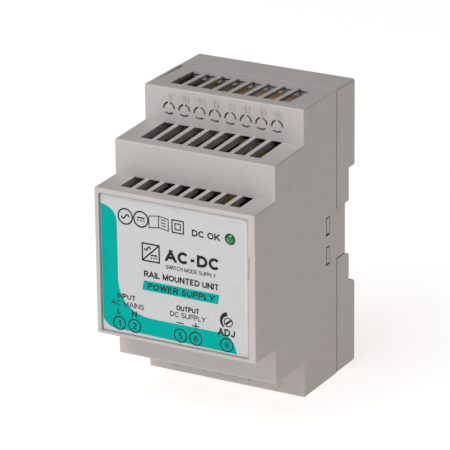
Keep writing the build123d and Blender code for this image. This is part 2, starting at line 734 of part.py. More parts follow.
def transformer_bobbin():
    """The coil former with two flanges and two rows of feet."""
    window_y = (CORE_Y[0] + YOKE + 0.2, CORE_Y[1] - YOKE - 0.2)
    middle = Pos(CORE_X, CORE_Z)
    flange = middle * (Rectangle(18.0, 21.0) - leg_hole(0.15))
    tube = middle * (leg_hole(1.0) - leg_hole(0.15))
    bobbin = facing(tube, window_y)
    bobbin += facing(flange, (window_y[0], window_y[0] + 1.0))
    bobbin += facing(flange, (window_y[1] - 1.0, window_y[1]))
    for x in both_sides((CORE_T / 2 + 0.4, 9.0)):
        feet_x = (CORE_X + x[0], CORE_X + x[1])
        bobbin += block(feet_x, (window_y[1] - 0.5, BOARD_FRONT), around(CORE_Z, 10.5))
    return bobbin


def transformer_winding():
    """The taped winding on the coil former."""
    ring = RectangleRounded(16.8, 20.4, 3.0) - leg_hole(1.05)
    y = (CORE_Y[0] + YOKE + 1.25, CORE_Y[1] - YOKE - 1.25)
    return facing(Pos(CORE_X, CORE_Z) * ring, y)


def core_tape():
    """The band of tape that holds the two core halves together."""
    x = around(CORE_X, TAPE_W / 2)
    y = (CORE_Y[0] - TAPE_T, CORE_Y[1] + TAPE_T)
    band = block(x, y, around(CORE_Z, CORE_HALF + TAPE_T))
    return band - block(around(CORE_X, TAPE_W), CORE_Y, around(CORE_Z, CORE_HALF))


# ------------------------------------------------------------------ all nodes
NODES = {
    "front_housing": front_housing,
    "rear_base": rear_base,
    "front_panel": front_panel,
    "front_label": front_label,
    "rail_clip": rail_clip,
    "clip_spring": clip_spring,
    "main_board": main_board,
    "control_board": control_board,
    "board_header": board_header,
    "header_pins": header_pins,
    "input_terminal_block": lambda: terminal_block((1, 2)),
    "output_terminal_block": lambda: terminal_block((5, 6)),
    "terminal_contacts": terminal_contacts,
    "trimmer_body": trimmer_body,
    "trimmer_rotor": trimmer_rotor,
    "input_fuse": lambda: box_part((-22.9, -15.1), (-31.6, -24.0), 7.7, 1.5),
    "surge_varistor": lambda: disc(-10.4, -27.0, 5.0, 4.2),
    "inrush_thermistor": lambda: disc(-4.6, -27.0, 4.5, 4.0),
    "mains_filter_capacitor": lambda: box_part((-22.6, -5.6), (-20.5, -12.5), 14.5),
    "common_mode_core": common_mode_core,
    "common_mode_windings": common_mode_windings,
    "bridge_rectifier": bridge_rectifier,
    "bulk_capacitor": lambda: can(-14.0, 21.5, 8.0, 26.0),
    "switching_transistor": lambda: power_package(**TRANSISTOR),
    "transistor_pad": lambda: insulating_pad(TRANSISTOR),
    "primary_heatsink": lambda: heat_sink(TRANSISTOR, (-4.0, 18.0), -26.0),
    "transformer_core": transformer_core,
    "transformer_bobbin": transformer_bobbin,
    "transformer_winding": transformer_winding,
    "core_tape": core_tape,
    "output_rectifier": lambda: power_package(**RECTIFIER),
    "rectifier_pad": lambda: insulating_pad(RECTIFIER),
    "secondary_heatsink": lambda: heat_sink(RECTIFIER, (-4.5, 11.0), -34.0),
    "heatsink_screws": heatsink_screws,
    "output_capacitor_1": lambda: can(4.6, -26.5, 5.0, 18.0),
    "output_capacitor_2": lambda: can(15.4, -26.5, 5.0, 18.0),
    "output_choke_core": output_choke_core,
    "output_choke_winding": output_choke_winding,
    "optocoupler": lambda: box_part((-6.2, -1.6), (-6.6, -0.2), 3.4, 0.3),
    "y_capacitor": lambda: disc(-2.9, -17.2, 3.5, 3.2),
    "control_chip": control_chip,
    "chip_components": chip_components,
    "status_led": status_led,
    "led_leads": led_leads,
}

os.makedirs("parts", exist_ok=True)
for number in SCREW_TURN:
    export_step(terminal_screw(number), f"parts/terminal_screw_{number}.step")
    export_step(terminal_cage(number), f"parts/terminal_cage_{number}.step")
for node, make in NODES.items():
    shape = make()
    if isinstance(shape, list):
        shape = Compound(children=shape)
    export_step(shape, f"parts/{node}.step")
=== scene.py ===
# %% [markdown]
# # A power supply for a 35 mm DIN rail
# The object is a stepped plastic enclosure with a printed film on its front, slots above and
# below, screw terminals behind holes, and a sprung clip for the rail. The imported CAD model
# already holds every part at its true size, so this lesson adds what CAD doesn't give:
# the camera and light, a finish for every material, the print on the film, the raised
# numbers beside the terminals and a wound spring.

# %% Load the frame
import json
import math
import bmesh
import bpy
import numpy as np
from mathutils import Euler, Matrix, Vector


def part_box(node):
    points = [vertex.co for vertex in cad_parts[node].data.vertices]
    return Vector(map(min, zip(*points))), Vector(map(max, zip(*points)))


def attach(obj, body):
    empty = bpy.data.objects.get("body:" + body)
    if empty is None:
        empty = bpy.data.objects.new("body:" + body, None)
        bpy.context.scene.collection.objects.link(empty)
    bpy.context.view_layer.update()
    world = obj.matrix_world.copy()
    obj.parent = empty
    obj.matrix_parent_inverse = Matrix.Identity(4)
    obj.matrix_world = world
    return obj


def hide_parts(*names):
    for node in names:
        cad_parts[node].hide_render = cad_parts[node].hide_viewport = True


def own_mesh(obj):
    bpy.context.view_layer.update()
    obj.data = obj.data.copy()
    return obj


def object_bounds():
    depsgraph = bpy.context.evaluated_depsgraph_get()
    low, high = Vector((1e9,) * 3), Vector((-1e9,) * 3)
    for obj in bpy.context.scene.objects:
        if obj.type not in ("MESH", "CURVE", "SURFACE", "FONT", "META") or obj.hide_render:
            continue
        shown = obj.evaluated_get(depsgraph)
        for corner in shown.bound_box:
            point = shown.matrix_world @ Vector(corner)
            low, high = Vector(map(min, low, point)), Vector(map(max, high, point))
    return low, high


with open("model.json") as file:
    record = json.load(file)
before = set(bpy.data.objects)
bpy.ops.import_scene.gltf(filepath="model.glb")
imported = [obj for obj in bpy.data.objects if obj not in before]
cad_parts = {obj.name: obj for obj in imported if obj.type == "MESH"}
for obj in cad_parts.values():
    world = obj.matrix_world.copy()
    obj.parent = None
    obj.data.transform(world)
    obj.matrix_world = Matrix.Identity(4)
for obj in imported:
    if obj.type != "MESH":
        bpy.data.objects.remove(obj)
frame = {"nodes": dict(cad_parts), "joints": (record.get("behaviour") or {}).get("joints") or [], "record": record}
cad_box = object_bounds()
MM = 0.001

# %% [markdown]
# ## Camera
# The view is a long lens from the front right and a little above, so the two steps show
# their slots. A long lens keeps the verticals nearly parallel. The camera is placed by two
# angles and a distance from a point inside the object, then rolled by under a degree.

# %% Place the camera
AZIMUTH, ELEVATION, ROLL = math.radians(29.095), math.radians(20.717), math.radians(0.67)
DISTANCE = 1060.7 * MM
AIM = Vector((-1.2, -26.1, 4.1)) * MM
LENS = 287.4


def from_aim(azimuth, elevation, distance):
    """A point at a distance from the aim: azimuth turns from -Y towards +X, elevation lifts it."""
    flat = math.cos(elevation)
    way = Vector((math.sin(azimuth) * flat, -math.cos(azimuth) * flat, math.sin(elevation)))
    return AIM + way * distance


camera = bpy.data.objects.new("camera", bpy.data.cameras.new("camera"))
bpy.context.scene.collection.objects.link(camera)
bpy.context.scene.camera = camera
camera.data.sensor_width = 36
camera.data.lens = LENS
camera.data.clip_start, camera.data.clip_end = 0.1, 20
camera.location = from_aim(AZIMUTH, ELEVATION, DISTANCE)
camera.rotation_mode = "QUATERNION"
look = (AIM - camera.location).to_track_quat("-Z", "Y")
camera.rotation_quaternion = look @ Euler((0, 0, -ROLL)).to_quaternion()
print("camera at", [round(v, 3) for v in camera.location])

# %% [markdown]
# ## Light
# Soft studio light comes from large panels. The front and the tops are bright and the right
# side is in the shade, so a broad panel hangs high in front, a little to the left, and a
# weaker one stands below it and fills the front. The side gets only what the white floor
# sends back. The surroundings are white only as a backdrop: as a light they are weak, so
# the shade stays in the slots.

# %% Light the studio
scene = bpy.context.scene
scene.view_settings.view_transform = "Standard"


def panel_light(name, azimuth, elevation, distance, size, power, colour):
    """A square area light that faces the aim, placed by the same angles as the camera."""
    light = bpy.data.lights.new(name, "AREA")
    light.shape, light.size, light.energy, light.color = "SQUARE", size, power, colour
    lamp = bpy.data.objects.new(name, light)
    scene.collection.objects.link(lamp)
    lamp.location = from_aim(math.radians(azimuth), math.radians(elevation), distance)
    lamp.rotation_euler = (AIM - lamp.location).to_track_quat("-Z", "Y").to_euler()


panel_light("key_panel", -16, 56, 1.4, 1.1, 17.6, (0.93, 0.98, 1.0))
panel_light("front_panel", -12, 12, 1.5, 0.8, 4.7, (0.82, 0.93, 1.0))

AMBIENT, BACKDROP = 0.05, 1.0
world = bpy.data.worlds.new("studio")
scene.world = world
world.use_nodes = True
nodes, links = world.node_tree.nodes, world.node_tree.links
nodes["Background"].inputs["Color"].default_value = (1, 1, 1, 1)
seen = nodes.new("ShaderNodeLightPath").outputs["Is Camera Ray"]
strength = nodes.new("ShaderNodeMapRange")
strength.inputs["To Min"].default_value, strength.inputs["To Max"].default_value = AMBIENT, BACKDROP
links.new(seen, strength.inputs["Value"])
links.new(strength.outputs["Result"], nodes["Background"].inputs["Strength"])
print("lights:", len(bpy.data.lights))

# %% [markdown]
# ## Meshes from arrays
# Every new piece is worked out as whole numpy arrays and handed to a mesh in one go. Shapes
# that overlap in one mesh stay separate closed shells, so their doubled points are merged
# and all their faces are turned outwards at the end.


# %% From arrays to a piece
def new_piece(name, points, faces, body="enclosure"):
    """An object at the origin from a point array and a list of faces, riding on a body."""
    mesh = bpy.data.meshes.new(name)
    mesh.from_pydata(points.tolist(), [], faces)
    mesh.validate()
    mesh.update()
    piece = bpy.data.objects.new(name, mesh)
    scene.collection.objects.link(piece)
    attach(piece, body)
    return piece


def join(parts):
    """Several (points, faces) pairs as one, with the faces counted on past earlier points."""
    points, faces, start = [], [], 0
    for part_points, part_faces in parts:
        points.append(part_points)
        faces += [tuple(np.add(face, start).tolist()) for face in part_faces]
        start += len(part_points)
    return np.vstack(points), faces


def outward(piece):
    """Merges doubled points and turns every closed shell's faces outwards."""
    form = bmesh.new()
    form.from_mesh(piece.data)
    bmesh.ops.remove_doubles(form, verts=form.verts, dist=1e-7)
    bmesh.ops.recalc_face_normals(form, faces=form.faces)
    form.to_mesh(piece.data)
    form.free()
    return piece


print("piece helpers ready")

# %% [markdown]
# ## Flat solids
# Print and raised figures are flat shapes with a little thickness. Two builders make them
# all: a slab has any outline, and a strip has a set width along a line. Both are worked out
# at depth 0 to 1, and the plane that they go to sets the real depth.


# %% Slab and strip
def slab(outline):
    """A flat outline (x, z) made solid: its points once at depth 0 and once at depth 1."""
    outline = np.asarray(outline, float)
    n = len(outline)
    i = np.arange(n)
    j = np.roll(i, -1)
    front = np.column_stack([outline[:, 0], np.zeros(n), outline[:, 1]])
    points = np.vstack([front, front + (0, 1, 0)])
    sides = np.column_stack([i, i + n, j + n, j]).tolist()
    return points, [tuple(i)] + [tuple(i[::-1] + n)] + [tuple(s) for s in sides]


def strip(line, width, closed=False):
    """A strip carried along a line (x, z), from depth 0 to 1.

    Each point is pushed both ways along the bisector of its two neighbouring directions, by half
    the width over the cosine of half the turn, so that straight runs keep their width.
    """
    line = np.asarray(line, float)
    if closed:
        ahead, behind = np.roll(line, -1, 0) - line, line - np.roll(line, 1, 0)
    else:
        steps = np.diff(line, axis=0)
        ahead, behind = np.vstack([steps, steps[-1]]), np.vstack([steps[0], steps])
    ahead /= np.linalg.norm(ahead, axis=1)[:, None]
    behind /= np.linalg.norm(behind, axis=1)[:, None]
    middle = ahead + behind
    middle /= np.linalg.norm(middle, axis=1)[:, None]
    out = np.column_stack([-middle[:, 1], middle[:, 0]])
    half = np.asarray(width, float) / 2 / np.sum(middle * ahead, axis=1)
    left, right = line + out * half[:, None], line - out * half[:, None]
    n = len(line)
    corners = [(left, 0), (right, 0), (right, 1), (left, 1)]
    points = np.vstack([np.column_stack([p[:, 0], np.full(n, depth), p[:, 1]]) for p, depth in corners])
    i = np.arange(n if closed else n - 1)
    j = (i + 1) % n
    faces = []
    for k in range(4):
        m = (k + 1) % 4
        faces += np.column_stack([k * n + i, k * n + j, m * n + j, m * n + i]).tolist()
    if not closed:
        faces += [[0, n, 2 * n, 3 * n], [4 * n - 1, 3 * n - 1, 2 * n - 1, n - 1]]
    return points, [tuple(f) for f in faces]


print("flat builders ready")

# %% [markdown]
# ## Letters and figures
# A letter is a few strokes of a pen: straight limbs and bows, on a box one unit high. The pen
# has one width, so a word keeps an even weight however wide it is set. A limb that leans has
# its ends cut level, which is what keeps the feet of an A or an M flat.


# %% Bows and runs
def arc(centre, radius, start, end, count=24):
    """A circle's arc between two angles in degrees: the centre plus the radius times cosine and sine."""
    angle = np.radians(np.linspace(start, end, count))
    return np.column_stack([centre[0] + radius * np.cos(angle), centre[1] + radius * np.sin(angle)])


def bow(x, z, half_width, half_height, start, end, count=14):
    """Part of an ellipse: a unit circle's arc scaled by half its width and half its height."""
    return arc((0, 0), 1.0, start, end, count) * (half_width, half_height) + (x, z)


def run(*stretches):
    """Points and bows joined end to end as one stroke."""
    return np.vstack(stretches)


print("bow ready")

# %% The alphabet
STEM = [(0, 0), (0, 1)]
P_BOWL = run((0, 1), (0.33, 1), bow(0.33, 0.73, 0.27, 0.27, 80, -80), (0.33, 0.46), (0, 0.46))
ALPHABET = {
    "A": (0.76, [(0, 0), (0.38, 1)], [(0.38, 1), (0.76, 0)], [(0.12, 0.28), (0.64, 0.28)]),
    "C": (0.70, bow(0.39, 0.5, 0.39, 0.5, 42, 318, 22)),
    "D": (0.70, run((0, 0), (0.28, 0), bow(0.28, 0.5, 0.42, 0.5, -80, 80, 16), (0.28, 1), (0, 1), (0, 0))),
    "E": (0.56, [(0.56, 1), (0, 1), (0, 0), (0.56, 0)], [(0, 0.52), (0.5, 0.52)]),
    "H": (0.66, STEM, [(0.66, 0), (0.66, 1)], [(0, 0.52), (0.66, 0.52)]),
    "I": (0.0, STEM),
    "J": (0.46, run((0.46, 1), bow(0.23, 0.25, 0.23, 0.25, 0, -180))),
    "K": (0.66, STEM, [(0.05, 0.34), (0.62, 1)], [(0.24, 0.54), (0.66, 0)]),
    "L": (0.50, [(0, 1), (0, 0), (0.5, 0)]),
    "M": (0.80, STEM, [(0, 1), (0.4, 0)], [(0.4, 0), (0.8, 1)], [(0.8, 0), (0.8, 1)]),
    "N": (0.66, STEM, [(0, 1), (0.66, 0)], [(0.66, 0), (0.66, 1)]),
    "O": (0.80, bow(0.4, 0.5, 0.4, 0.5, 0, 360, 29)),
    "P": (0.60, STEM, P_BOWL),
    "R": (0.62, STEM, P_BOWL, [(0.32, 0.46), (0.62, 0)]),
    "S": (0.60, run(bow(0.3, 0.75, 0.28, 0.25, 25, 262), bow(0.3, 0.25, 0.3, 0.25, 82, -158))),
    "T": (0.62, [(0, 1), (0.62, 1)], [(0.31, 0), (0.31, 1)]),
    "U": (0.66, run((0, 1), bow(0.33, 0.33, 0.33, 0.33, 180, 360), (0.66, 1))),
    "W": (1.0, [(0, 1), (0.25, 0)], [(0.25, 0), (0.5, 1)], [(0.5, 1), (0.75, 0)], [(0.75, 0), (1, 1)]),
    "Y": (0.70, [(0, 1), (0.35, 0.42)], [(0.35, 0.42), (0.7, 1)], [(0.35, 0), (0.35, 0.46)]),
    "-": (0.34, [(0, 0.42), (0.34, 0.42)]),
    "0": (0.60, bow(0.3, 0.5, 0.3, 0.5, 0, 360, 27)),
    "1": (0.30, [(0.3, 0), (0.3, 1)], [(0, 0.74), (0.3, 1)]),
    "2": (0.60, run(bow(0.3, 0.71, 0.29, 0.29, 165, -30), (0, 0), (0.6, 0))),
    "3": (0.58, bow(0.27, 0.75, 0.26, 0.25, 150, -90), bow(0.27, 0.25, 0.31, 0.25, 90, -150)),
    "4": (0.64, [(0.46, 0), (0.46, 1)], [(0, 0.27), (0.46, 1)], [(0, 0.24), (0.64, 0.24)]),
    "5": (0.58, run((0.52, 1), (0.1, 1), (0.05, 0.48), bow(0.27, 0.32, 0.31, 0.32, 112, -132))),
    "6": (0.60, bow(0.3, 0.31, 0.3, 0.31, 0, 360, 25), bow(0.48, 0.34, 0.48, 0.66, 78, 180)),
    "7": (0.58, [(0, 1), (0.58, 1)], [(0.18, 0), (0.56, 1)]),
    "8": (0.60, bow(0.3, 0.75, 0.25, 0.25, 0, 360, 25), bow(0.3, 0.26, 0.3, 0.26, 0, 360, 25)),
    "9": (0.60, bow(0.3, 0.69, 0.3, 0.31, 0, 360, 25), bow(0.12, 0.66, 0.48, 0.66, 0, -102)),
}


print("letters and figures:", len(ALPHABET))


# %% One stroke of the pen
def limb(line, width):
    """A straight stroke that may lean, with level ends, carried on half a pen past both of them.

    Its level half width is half the pen times the root of one plus the lean squared.
    """
    (x0, z0), (x1, z1) = line if line[0][1] < line[1][1] else line[::-1]
    lean = (x1 - x0) / (z1 - z0)
    half = width / 2 * math.hypot(1, lean)
    x0, z0, x1, z1 = x0 - lean * width / 2, z0 - width / 2, x1 + lean * width / 2, z1 + width / 2
    return slab([(x0 - half, z0), (x0 + half, z0), (x1 + half, z1), (x1 - half, z1)])


def pen(line, width):
    """One stroke: a limb if it is straight and not level, a loop if its ends meet, else a strip."""
    if len(line) == 2 and abs(line[0][1] - line[1][1]) > width:
        return limb(line, width)
    if np.allclose(line[0], line[-1]):
        return strip(line[:-1], width, closed=True)
    return strip(line, width)


print("pen ready")

# %% [markdown]
# ## Setting words
# Print is laid out by the space that it takes, so a word is set to fill a box: letters are
# placed side by side in units of their height, then stretched to the box's width. A letter's
# later strokes start a little deeper than its first, so that no two of their fronts coincide.

# %% Set words in a box
LAYER, SPACE = 0.12, 0.42
THIN_PEN, PEN, BOLD_PEN = 0.13, 0.16, 0.2


def lettering(words, x, z, weight, slant=0.0):
    """Words that fill a box: x and z are its limits, weight is the pen's width over the height."""
    height = z[1] - z[0]
    width = weight * height
    gap = 0.1 + weight
    places, cursor = [], 0.0
    for letter in words:
        if letter == " ":
            cursor += SPACE
            continue
        advance, *strokes = ALPHABET[letter]
        places += [(cursor, layer, stroke) for layer, stroke in enumerate(strokes)]
        cursor += advance + gap
    length = max(cursor - gap, 0.01)
    stretch = (x[1] - x[0] - width - slant * height) / length
    corner = np.array([x[0] + width / 2, z[0] + width / 2])
    parts = []
    for left, layer, stroke in places:
        line = (np.array(stroke, float) + (left, 0)) * (stretch, height - width) + corner
        points, faces = pen(line, width)
        points[:, 1] = LAYER * layer + (1 - LAYER * layer) * points[:, 1]
        parts.append((points, faces))
    points, faces = join(parts)
    points[:, 0] += slant * (points[:, 2] - z[0])
    return points, faces


def on_plane(parts, y, thickness):
    """Flat parts joined, in metres, with depth 0 a thickness in front of the plane y."""
    points, faces = join(parts)
    points[:, 1] = y - thickness * (1 - points[:, 1])
    return points * MM, faces


print("lettering ready")

# %% [markdown]
# ## Print on the film
# Ink stands a few hundredths of a millimetre proud of the film, so each colour is one thin
# closed piece just above it. That keeps every edge sharp in a close view and gives the ink
# its own gloss. The band is one outline: straight runs joined by four smooth sweeps.

# %% The film's coloured band
film_low, film_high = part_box("front_label")
FILM_Y = film_low.y / MM
INK = 0.03
EDGE_X = film_low.x / MM + 0.1
SIDE_X = -19.4
BAND_LOW, BAND_LOW_RIGHT, BAND_HIGH = -20.8, -21.4, -15.7


def sweep(start, corner, end, count=20):
    """A bend from start to end that leans on a corner.

    With t from 0 to 1 it is (1 - t) squared times the start, plus twice t times (1 - t) times the
    corner, plus t squared times the end.
    """
    t = np.linspace(0, 1, count)[:, None]
    start, corner, end = map(np.array, (start, corner, end))
    return (1 - t) ** 2 * start + 2 * t * (1 - t) * corner + t**2 * end


band = np.vstack([
    sweep((EDGE_X, 17.6), (-19.5, 16.9), (SIDE_X, 12.4)),
    sweep((SIDE_X, -4.5), (-19.2, -15.5), (-7.5, BAND_HIGH), 32),
    sweep((14.0, BAND_HIGH), (18.9, BAND_HIGH), (19.9, BAND_LOW_RIGHT)),
    sweep((-20.6, BAND_LOW), (-22.9, BAND_LOW), (EDGE_X, -18.2)),
])
bar_x, bar_z, bar_slant = (-11.3, 14.4), (-7.0, -4.0), 0.6
bar = [
    (bar_x[0], bar_z[0]), (bar_x[1] - bar_slant, bar_z[0]),
    (bar_x[1], bar_z[1]), (bar_x[0] + bar_slant, bar_z[1]),
]
teal_print = new_piece("teal_print", *on_plane([slab(band), slab(bar)], FILM_Y, INK))
outward(teal_print)
print("band points:", len(band))

# %% [markdown]
# ## Marks on the film
# The marks are plain and generic: alternating and direct current signs in rings, an open
# book for the manual, the nested squares of double insulation, a converter sign (a box cut
# by a diagonal, with a wave on one side and bars on the other), and a slotted screw for the
# trimmer. The wave is a sine sampled along a short line.


# %% Signs
def ring(centre, radius, width):
    """A circle drawn with a strip."""
    return strip(arc(centre, radius, 0, 360, 49)[:-1], width, closed=True)


def frame_line(x, z, width):
    """The outline of a rectangle drawn with a strip."""
    corners = [(x[0], z[0]), (x[1], z[0]), (x[1], z[1]), (x[0], z[1])]
    return strip(corners, width, closed=True)


def wave(centre, width, height, line):
    """The alternating current sign: one full sine drawn with a strip."""
    t = np.linspace(-0.5, 0.5, 25)
    return strip(np.column_stack([centre[0] + t * width, centre[1] + height * np.sin(2 * np.pi * t)]), line)


def dash(x, z, length, line):
    """A level bar with its middle at x, z."""
    return strip([(x - length / 2, z), (x + length / 2, z)], line)


def bars(centre, width, line):
    """The direct current sign: a full bar over one broken into three, with equal gaps."""
    x, z = centre
    part = width / 5
    return [dash(x, z + line, width, line)] + [dash(x + k * part, z - line, part, line) for k in (-2, 0, 2)]


print("simple signs ready")

# %% Signs made of several marks
BOOK_LIFT = 0.55


def converter_sign(x, z, line):
    """A box cut by a diagonal, a wave in its upper left and bars in its lower right."""
    width, height = x[1] - x[0], z[1] - z[0]
    upper = (x[0] + width * 0.31, z[0] + height * 0.71)
    lower = (x[0] + width * 0.68, z[0] + height * 0.29)
    diagonal = strip([(x[0], z[0]), (x[1], z[1])], line)
    return [frame_line(x, z, line), diagonal, wave(upper, width * 0.36, height * 0.1, line)] + bars(
        lower, width * 0.36, line)


def open_book(x, z, line):
    """Two pages that slope down from a spine, with lines of text on the right-hand one."""
    middle = (x[0] + x[1]) / 2
    left = [(x[0], z[0]), (middle, z[0] + BOOK_LIFT), (middle, z[1]), (x[0], z[1] - BOOK_LIFT)]
    right = [(middle, z[0] + BOOK_LIFT), (x[1], z[0]), (x[1], z[1] - BOOK_LIFT), (middle, z[1])]
    rows = [
        strip([(middle + 0.8, level), (x[1] - 0.8, level - 0.25)], line)
        for level in np.linspace(z[0] + 1.35, z[1] - 0.95, 3)
    ]
    return [strip(left, line, closed=True), strip(right, line, closed=True)] + rows


def trimmer_sign(centre, radius, line):
    """A slotted screw in a ring, with an arc round its left side that thickens towards the top."""
    x, z = centre
    slot = np.array([(-0.62, -0.52), (0.62, 0.52)]) * radius + centre
    sweep_line = arc((x - 0.1, z + 0.2), radius + 0.95, 232, 98, 24)
    width = np.linspace(0.5, 1.35, len(sweep_line))
    return [ring(centre, radius, line), strip(slot, line * 2.2), strip(sweep_line, width)]


print("built signs ready")

# %% Place the signs
HEAVY, MEDIUM, THIN, FINE = 0.42, 0.36, 0.3, 0.24
AC_PLACE, DC_PLACE, CURRENT_R = (-16.5, 14.8), (-11.3, 14.8), 2.35
dark_parts = [
    ring(AC_PLACE, CURRENT_R, HEAVY),
    wave(AC_PLACE, 2.7, 0.62, HEAVY),
    ring(DC_PLACE, CURRENT_R, HEAVY),
    *bars(DC_PLACE, 2.5, HEAVY),
    *open_book((-8.6, -2.2), (12.7, 16.8), FINE),
    frame_line((-0.95, 2.8), (12.65, 16.45), MEDIUM),
    frame_line((0.05, 1.8), (13.65, 15.45), THIN),
    *converter_sign((-11.0, -5.4), (2.3, 7.6), HEAVY),
    *trimmer_sign((17.2, -12.0), 1.32, 0.27),
]
print("signs:", len(dark_parts))

# %% [markdown]
# ## Words on the film
# The words only say what the unit is and what its terminals are for. Each row gives the
# words, the box that they fill in millimetres, the pen's weight and the slant. Headings are
# bold and the lines under them thin, so that the film reads from a step away.

# %% Words, numbers and the dark print
WORDS = [
    ("DC OK", (5.6, 14.7), (12.6, 14.6), BOLD_PEN, 0),
    ("AC-DC", (-3.4, 14.4), (3.4, 7.0), 0.24, 0),
    ("SWITCH MODE SUPPLY", (-3.2, 13.3), (1.0, 2.2), THIN_PEN, 0),
    ("RAIL MOUNTED UNIT", (-10.6, 14.2), (-2.75, -0.85), BOLD_PEN, 0),
    ("POWER SUPPLY", (-9.6, 12.9), (-6.45, -4.6), BOLD_PEN, 0.2),
    ("INPUT", (-19.8, -13.6), (-11.0, -9.5), BOLD_PEN, 0),
    ("AC MAINS", (-21.9, -10.8), (-13.4, -11.8), THIN_PEN, 0),
    ("L", (-19.8, -18.6), (-16.1, -14.3), BOLD_PEN, 0),
    ("N", (-14.9, -13.3), (-16.1, -14.3), BOLD_PEN, 0),
    ("OUTPUT", (0.0, 7.6), (-11.3, -9.7), BOLD_PEN, 0),
    ("DC SUPPLY", (-2.1, 9.7), (-13.5, -11.9), THIN_PEN, 0),
    ("ADJ", (13.7, 19.3), (-16.4, -14.2), BOLD_PEN, 0),
]
NUMBERS = {
    "1": (-19.2, -18.95), "2": (-14.1, -18.95), "5": (1.25, -19.1), "6": (6.35, -19.1), "8": (16.6, -19.15),
}
RING_R, NUMBER_HALF_H = 2.0, 0.98
HALF_WIDTHS = {"1": 0.4}
MINUS, PLUS, SIGN_W = (1.2, -15.2), (6.4, -15.2), 2.4
dark_parts += [lettering(words, x, z, weight, slant) for words, x, z, weight, slant in WORDS]
dark_parts += [dash(*MINUS, SIGN_W, THIN), dash(*PLUS, SIGN_W, THIN)]
dark_parts += [strip([(PLUS[0], PLUS[1] - 1.1), (PLUS[0], PLUS[1] + 1.1)], THIN)]
for figure, (x, z) in NUMBERS.items():
    half = HALF_WIDTHS.get(figure, 0.64)
    dark_parts.append(ring((x, z), RING_R, MEDIUM))
    box_z = (z - NUMBER_HALF_H, z + NUMBER_HALF_H)
    dark_parts.append(lettering(figure, (x - half, x + half), box_z, PEN))
dark_print = new_piece("dark_print", *on_plane(dark_parts, FILM_Y - INK, INK))
outward(dark_print)
print("dark print faces:", len(dark_print.data.polygons))

# %% [markdown]
# ## The film's lip
# The film is pressed over a low lip along its top and right edges, with a round corner. The lip is a narrow raised
# strip that tapers out at both ends. The pale line where it catches the light is a painted highlight: the strip is
# coloured paler than the film. Its line is a run, a quarter bend and a second run.

# %% Raise the lip
LIP_IN, LIP_R, LIP_W = 0.75, 1.4, 0.55
lip_x, lip_z = film_high.x / MM - LIP_IN, film_high.z / MM - LIP_IN
lip_line = run(
    np.column_stack([np.linspace(2.0, lip_x - LIP_R, 12)[:-1], np.full(11, lip_z)]),
    arc((lip_x - LIP_R, lip_z - LIP_R), LIP_R, 90, 0, 14),
    np.column_stack([np.full(11, lip_x), np.linspace(lip_z - LIP_R, film_low.z / MM + 1.0, 12)[1:]]),
)
taper = np.sin(np.pi * np.linspace(0.02, 0.98, len(lip_line))) ** 0.35  # full width along most of it
# the strip carries the painted highlight of the lip's edge
highlight_lip = new_piece("highlight_lip", *on_plane([strip(lip_line, LIP_W * taper)], FILM_Y, INK))
outward(highlight_lip)
print("lip points:", len(lip_line))

# %% [markdown]
# ## Raised numbers on the enclosure
# The terminal positions are numbered in the moulding: 9 to 16 above the upper row and 1 to
# 8 at the lower edge. They stand only a fifth of a millimetre proud and have the housing's
# own colour, so they are seen just by their shade.

# %% Mould the numbers
PITCH, ROW_X, FIGURE_SHIFT = 5.13, -0.25, 0.35
POSITIONS = 8
OUTER_Y = -28.5
FIGURE_LOW = {"upper": 41.3, "lower": -43.4}
FIGURE_H, RAISED = 2.1, 0.2
figures = []
for number in range(1, 2 * POSITIONS + 1):
    row, place = divmod(number - 1, POSITIONS)
    x = (place - (POSITIONS - 1) / 2) * PITCH + ROW_X + FIGURE_SHIFT
    low = FIGURE_LOW["upper" if row else "lower"]
    half = 0.62 if number < 10 else 1.3
    figures.append(lettering(str(number), (x - half, x + half), (low, low + FIGURE_H), PEN))
moulded_numbers = new_piece("moulded_numbers", *on_plane(figures, OUTER_Y, RAISED))
outward(moulded_numbers)
print("raised numbers:", len(figures))

# %% [markdown]
# ## Clip spring
# The clip is held up by a small compression spring that closes up as the clip is pulled down. CAD keeps it rigid,
# so a wound wire stands for it here: a helix whose end coils lie flat, because a spring's ends are closed.


# %% A round wire
def wire(path, radius, sides=12):
    """A round wire: each point of the path carries a circle square to the path.

    A point of the circle is the radius times (across times cosine plus up times sine).
    """
    way = np.gradient(path, axis=0)
    way /= np.linalg.norm(way, axis=1)[:, None]
    across = np.cross(way, (0, 0, 1.0))
    across /= np.linalg.norm(across, axis=1)[:, None]
    up = np.cross(across, way)
    turn = np.linspace(0, 2 * np.pi, sides, endpoint=False)
    circle = across[:, None] * np.cos(turn)[None, :, None] + up[:, None] * np.sin(turn)[None, :, None]
    points = (path[:, None] + radius * circle).reshape(-1, 3)
    i = np.arange(len(path) - 1)[:, None] * sides
    k = np.arange(sides)[None]
    m = (k + 1) % sides
    quads = np.stack([i + k, i + m, i + sides + m, i + sides + k], -1).reshape(-1, 4)
    last = (len(path) - 1) * sides
    caps = [tuple(range(sides - 1, -1, -1)), tuple(range(last, last + sides))]
    return points, [tuple(q) for q in quads.tolist()] + caps


print("wire ready")

